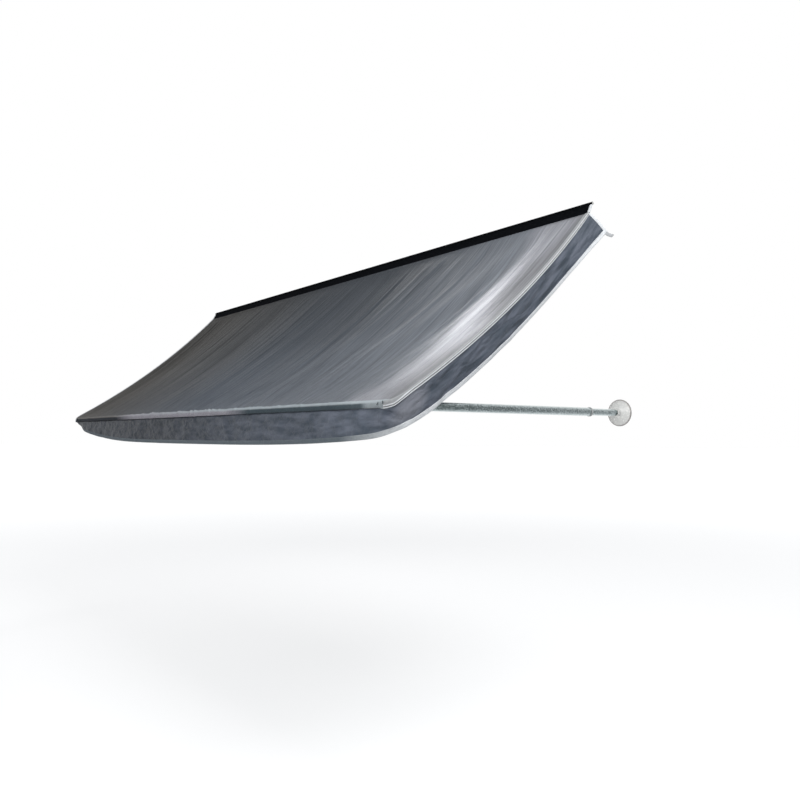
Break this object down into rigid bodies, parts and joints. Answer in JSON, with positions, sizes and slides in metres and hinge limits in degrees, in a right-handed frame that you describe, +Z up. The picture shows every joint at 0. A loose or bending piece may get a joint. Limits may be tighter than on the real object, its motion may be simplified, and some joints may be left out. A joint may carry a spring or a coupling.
{
  "type": "caravan window awning",
  "caption": "Sloping cloth awning hung from a keder bead, with valances, a front bar and two telescopic side arms that end in wall suction cups.",
  "frame": {"origin": "centre of the keder bead at mid width", "axes": "+X along the wall to the right as seen from in front, +Y into the wall, +Z up"},
  "size_m": [2.18, 0.6096, 0.5752],
  "materials": {
    "silver_cloth": "silver-coated polyester, softly shiny",
    "grey_cloth": "slate-grey coated polyester",
    "black_cloth": "black coated polyester",
    "white_binding": "woven polyester binding",
    "bright_steel": "bright galvanised",
    "black_plastic": "moulded",
    "grey_plastic": "moulded",
    "white_plastic": "extruded or moulded",
    "clear_rubber": "clear soft PVC"
  },
  "bodies": {
    "keder": {"keder_cord": "white_plastic", "keder_welt": "black_cloth"},
    "canopy": {"keder_strip": "black_cloth", "roof_panel": "silver_cloth", "front_hem": "silver_cloth", "front_valance": "grey_cloth", "front_binding": "white_binding", "bar_spigot": "bright_steel", "left_strip_binding": "white_binding", "left_roof_tape": "white_binding", "left_side_valance": "grey_cloth", "left_side_binding": "white_binding", "left_end_binding": "white_binding", "left_pull_tab": "grey_cloth", "left_bar_tube": "bright_steel", "right_strip_binding": "white_binding", "right_roof_tape": "white_binding", "right_side_valance": "grey_cloth", "right_side_binding": "white_binding", "right_end_binding": "white_binding", "right_pull_tab": "grey_cloth", "right_bar_tube": "bright_steel"},
    "left_pivot": {"left_fork": "black_plastic", "left_pivot_pin": "bright_steel"},
    "left_arm": {"left_outer_arm": "bright_steel", "left_mouth_bush": "grey_plastic"},
    "left_slider": {"left_inner_arm": "bright_steel"},
    "left_cam": {"left_lock_cam": "white_plastic"},
    "left_cup": {"left_suction_cup": "clear_rubber"},
    "right_pivot": {"right_fork": "black_plastic", "right_pivot_pin": "bright_steel"},
    "right_arm": {"right_outer_arm": "bright_steel", "right_mouth_bush": "grey_plastic"},
    "right_slider": {"right_inner_arm": "bright_steel"},
    "right_cam": {"right_lock_cam": "white_plastic"},
    "right_cup": {"right_suction_cup": "clear_rubber"}
  },
  "joints": [
    {"name": "canopy_fold", "type": "hinge", "parent": "keder", "child": "canopy", "pos_m": [0, 0, 0], "axis": [1, 0, 0], "range_deg": [-35, 48]},
    {"name": "left_arm_pitch", "type": "hinge", "parent": "canopy", "child": "left_pivot", "pos_m": [-0.955, -0.576, -0.492], "axis": [1, 0, 0], "range_deg": [-15, 6]},
    {"name": "left_arm_fold", "type": "hinge", "parent": "left_pivot", "child": "left_arm", "pos_m": [-0.9615, -0.554, -0.492], "axis": [0, 0, -1], "range_deg": [0, 88]},
    {"name": "left_arm_extend", "type": "slide", "parent": "left_arm", "child": "left_slider", "axis": [-0.1763, 0.9843, 0], "range_m": [-0.055, 0.18]},
    {"name": "left_twist_lock", "type": "hinge", "parent": "left_slider", "child": "left_cam", "pos_m": [-1.00377, -0.318, -0.4929], "axis": [-0.1763, 0.9843, 0], "range_deg": [-25, 25]},
    {"name": "left_cup_tilt", "type": "hinge", "parent": "left_slider", "child": "left_cup", "pos_m": [-1.06, -0.004, -0.492], "axis": [1, 0, 0], "range_deg": [-15, 15]},
    {"name": "right_arm_pitch", "type": "hinge", "parent": "canopy", "child": "right_pivot", "pos_m": [0.955, -0.576, -0.492], "axis": [1, 0, 0], "range_deg": [-15, 6]},
    {"name": "right_arm_fold", "type": "hinge", "parent": "right_pivot", "child": "right_arm", "pos_m": [0.9615, -0.554, -0.492], "axis": [0, 0, 1], "range_deg": [0, 88]},
    {"name": "right_arm_extend", "type": "slide", "parent": "right_arm", "child": "right_slider", "axis": [0.1763, 0.9843, 0], "range_m": [-0.055, 0.18]},
    {"name": "right_twist_lock", "type": "hinge", "parent": "right_slider", "child": "right_cam", "pos_m": [1.00377, -0.318, -0.4929], "axis": [0.1763, 0.9843, 0], "range_deg": [-25, 25]},
    {"name": "right_cup_tilt", "type": "hinge", "parent": "right_slider", "child": "right_cup", "pos_m": [1.06, -0.004, -0.492], "axis": [1, 0, 0], "range_deg": [-15, 15]}
  ]
}
